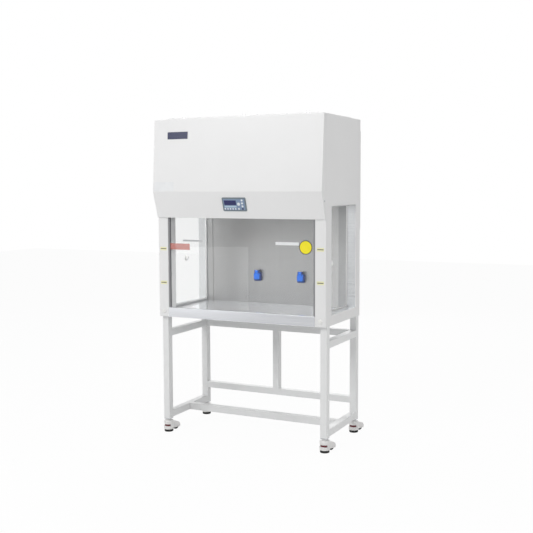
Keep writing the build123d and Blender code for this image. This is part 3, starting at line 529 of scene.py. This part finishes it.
def add_socket(bm, x, back, middle):
    """One housing with tapered shoulders, a round recess, pin holes, hinge ears and their pin."""
    depth = SOCKET_DEPTH
    corners = SOCKET_RIGHT_HALF + [(-px, py) for px, py in reversed(SOCKET_RIGHT_HALF)]
    outline = ray_outline(corners, SOCKET_POINTS)
    circle = disc_outline(RECESS_RADIUS, SOCKET_POINTS)
    rings = shrunk(outline, [(0, 0), (0, depth - 0.0015), (0.0005, depth - 0.0004), (0.0015, depth)])
    for share, height in ((1.04, depth), (1.0, depth - 0.0006), (1.0, depth - RECESS_DEPTH)):
        rings.append([(cx * share, cy * share - RECESS_DROP, height) for cx, cy in circle])
    add_skin(bm, rings, facing((x, back, middle), FORWARD))

    ear_outline = plate_outline(0.019, 0.023, 0.0045)
    ear_levels = [(0.0006, 0), (0, 0.0006), (0, 0.0054), (0.0006, 0.006)]
    hole_outline = disc_outline(0.0026, 20)
    hole_levels = [(0, -0.0001), (0.0002, 0.0004)]
    for side in (-1, 1):
        ear = facing((x + side * 0.011 - 0.003, back - 0.0215, middle + 0.0235), RIGHTWARD)
        add_skin(bm, shrunk(ear_outline, ear_levels), ear)
        hole = facing((x + side * 0.0095, back - depth + RECESS_DEPTH, middle - RECESS_DROP), FORWARD)
        add_skin(bm, shrunk(hole_outline, hole_levels), hole)
    pin = facing((x - 0.011, back - 0.026, middle + 0.030), RIGHTWARD)
    add_skin(bm, shrunk(disc_outline(0.002, 16), [(0, 0), (0, 0.022)]), pin)


def add_sockets():
    """Both socket housings in one piece, each one under the middle of its lid."""
    _, base_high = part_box("socket_bases")
    bm = bmesh.new()
    for lid in ("socket_lid_left", "socket_lid_right"):
        lid_low, lid_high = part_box(lid)
        add_socket(bm, (lid_low[0] + lid_high[0]) / 2, base_high[1], base_high[2] - SOCKET_MIDDLE_DROP)
    mesh = closed_mesh("socket_housings", bm)
    obj = piece("socket_housings", mesh, "blue_shade", "cabinet")
    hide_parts("socket_bases")


def row_places(low, high, margin, count):
    """Evenly spaced places between two edges, the outer ones a margin inside."""
    return [low + margin + (high - low - 2 * margin) * i / (count - 1) for i in range(count)]


def pan_head(name, place, radius, height, body):
    """Round screw head with a domed top."""
    levels = [(0, 0), (0, height * 0.35), (radius * 0.12, height * 0.75), (radius * 0.4, height)]
    mesh = slab(name, disc_outline(radius, 20), levels, place)
    piece(name, mesh, "steel", body)


def add_rear_screws():
    """Pan heads along the rear cover's lower and upper edges."""
    margin = 0.018
    for row, z in (("low", REAR_LOW[2] + margin), ("high", REAR_HIGH[2] - margin)):
        for i, x in enumerate(row_places(REAR_LOW[0], REAR_HIGH[0], margin, 6)):
            place = facing((x, REAR_HIGH[1], z), BACKWARD)
            pan_head(f"rear_screw_{row}_{i}", place, 0.0042, 0.0022, "cabinet")


def add_roof_screws():
    """Pan heads that hold the coarse filter's frame, along its front and rear edges."""
    inset = 0.009
    for row, y in enumerate((ROOF_LOW[1] + inset, ROOF_HIGH[1] - inset)):
        for i, x in enumerate(row_places(ROOF_LOW[0], ROOF_HIGH[0], 0.03, 6)):
            place = facing((x, y, ROOF_HIGH[2]), UP, BACKWARD)
            pan_head(f"roof_screw_{row}_{i}", place, 0.0036, 0.0018, "cabinet")


def add_camera():
    data = bpy.data.cameras.new("camera")
    data.sensor_width = SENSOR_MM
    data.lens = FOCAL_PIXELS / IMAGE_SIZE * SENSOR_MM
    obj = bpy.data.objects.new("camera", data)
    turn = Matrix.Rotation(math.radians(CAMERA_YAW), 4, "Z")
    tilt = Matrix.Rotation(math.radians(90 - CAMERA_PITCH), 4, "X")
    roll = Matrix.Rotation(math.radians(CAMERA_ROLL), 4, "Z")
    obj.matrix_world = Matrix.Translation(CAMERA_PLACE) @ turn @ tilt @ roll
    bpy.context.scene.collection.objects.link(obj)
    bpy.context.scene.camera = obj


def area_light(name, place, target, size, power):
    data = bpy.data.lights.new(name, "AREA")
    data.shape = "RECTANGLE"
    data.size, data.size_y = size
    data.energy = power
    obj = bpy.data.objects.new(name, data)
    direction = Vector(target) - Vector(place)
    turn = direction.to_track_quat("-Z", "Y").to_matrix().to_4x4()
    obj.matrix_world = Matrix.Translation(place) @ turn
    bpy.context.scene.collection.objects.link(obj)
    return obj


def add_lights():
    """Soft boxes around the hood, and a low lamp and a hidden one for the work area."""
    middle = (0, 0, 1.0)
    area_light("key", (-1.6, -4.5, 3.6), middle, (2.6, 2.2), KEY_POWER)
    area_light("fill", (4.4, -1.8, 2.2), middle, (2.4, 2.4), FILL_POWER)
    area_light("top", (0.2, 0.2, 4.4), middle, (3.2, 2.2), TOP_POWER)
    area_light("rear", (-1.6, 4.4, 2.6), middle, (2.6, 2.2), REAR_POWER)
    area_light("low", (-1.25, -1.9, 0.72), (-0.25, 0.2, 0.88), (0.8, 0.5), LOW_POWER)
    inner_place = (0, FRONT_Y + 0.14, SASH_HIGH[2] - 0.03)
    inner = area_light("inner", inner_place, (0, 0.25, 1.14), (0.5, 0.05), INNER_POWER)
    inner.visible_camera = False
    inner.visible_glossy = False


def seen_rays(tree):
    """1 on a ray from the camera, through glass or off a gloss, which should meet plain white."""
    path = tree.nodes.new("ShaderNodeLightPath")
    seen = path.outputs["Is Camera Ray"]
    for kind in ("Is Transmission Ray", "Is Glossy Ray"):
        either = tree.nodes.new("ShaderNodeMath")
        either.operation = "MAXIMUM"
        tree.links.new(seen, either.inputs[0])
        tree.links.new(path.outputs[kind], either.inputs[1])
        seen = either.outputs[0]
    return seen


def background(tree, strength):
    node = tree.nodes.new("ShaderNodeBackground")
    node.inputs["Color"].default_value = PURE_WHITE
    node.inputs["Strength"].default_value = strength
    return node.outputs[0]


def add_world():
    """A soft even light, and plain white wherever it is seen."""
    space = bpy.data.worlds.new("studio")
    bpy.context.scene.world = space
    space.use_nodes = True
    tree = space.node_tree
    tree.nodes.clear()
    out = tree.nodes.new("ShaderNodeOutputWorld")
    mix_to_output(tree, out, seen_rays(tree), background(tree, WORLD_LEVEL), background(tree, 1.0))


def add_floor():
    """A matt floor that glows almost pure white wherever it is seen."""
    mesh = bpy.data.meshes.new("floor")
    reach = FLOOR_REACH
    corners = [(-reach, -reach, 0), (reach, -reach, 0), (reach, reach, 0), (-reach, reach, 0)]
    mesh.from_pydata(corners, [], [(0, 1, 2, 3)])
    obj = bpy.data.objects.new("floor", mesh)
    bpy.context.scene.collection.objects.link(obj)
    material = bpy.data.materials.new("floor_white")
    material.use_nodes = True
    tree = material.node_tree
    tree.nodes.clear()
    out = tree.nodes.new("ShaderNodeOutputMaterial")
    matt = tree.nodes.new("ShaderNodeBsdfDiffuse")
    matt.inputs["Color"].default_value = (0.85, 0.85, 0.85, 1)
    glow = tree.nodes.new("ShaderNodeEmission")
    glow.inputs["Color"].default_value = PURE_WHITE
    glow.inputs["Strength"].default_value = 1.0
    share = tree.nodes.new("ShaderNodeMath")
    share.operation = "MULTIPLY"
    share.inputs[1].default_value = FLOOR_GLOW
    tree.links.new(seen_rays(tree), share.inputs[0])
    mix_to_output(tree, out, share.outputs[0], matt.outputs[0], glow.outputs[0])
    mesh.materials.append(material)


dress_nodes()
add_cover_plates()
add_sash_labels()
add_column_marks()
add_key_caps()
add_sockets()
add_rear_screws()
add_roof_screws()

bpy.context.scene.view_settings.view_transform = "Standard"
add_camera()
add_lights()
add_world()
add_floor()
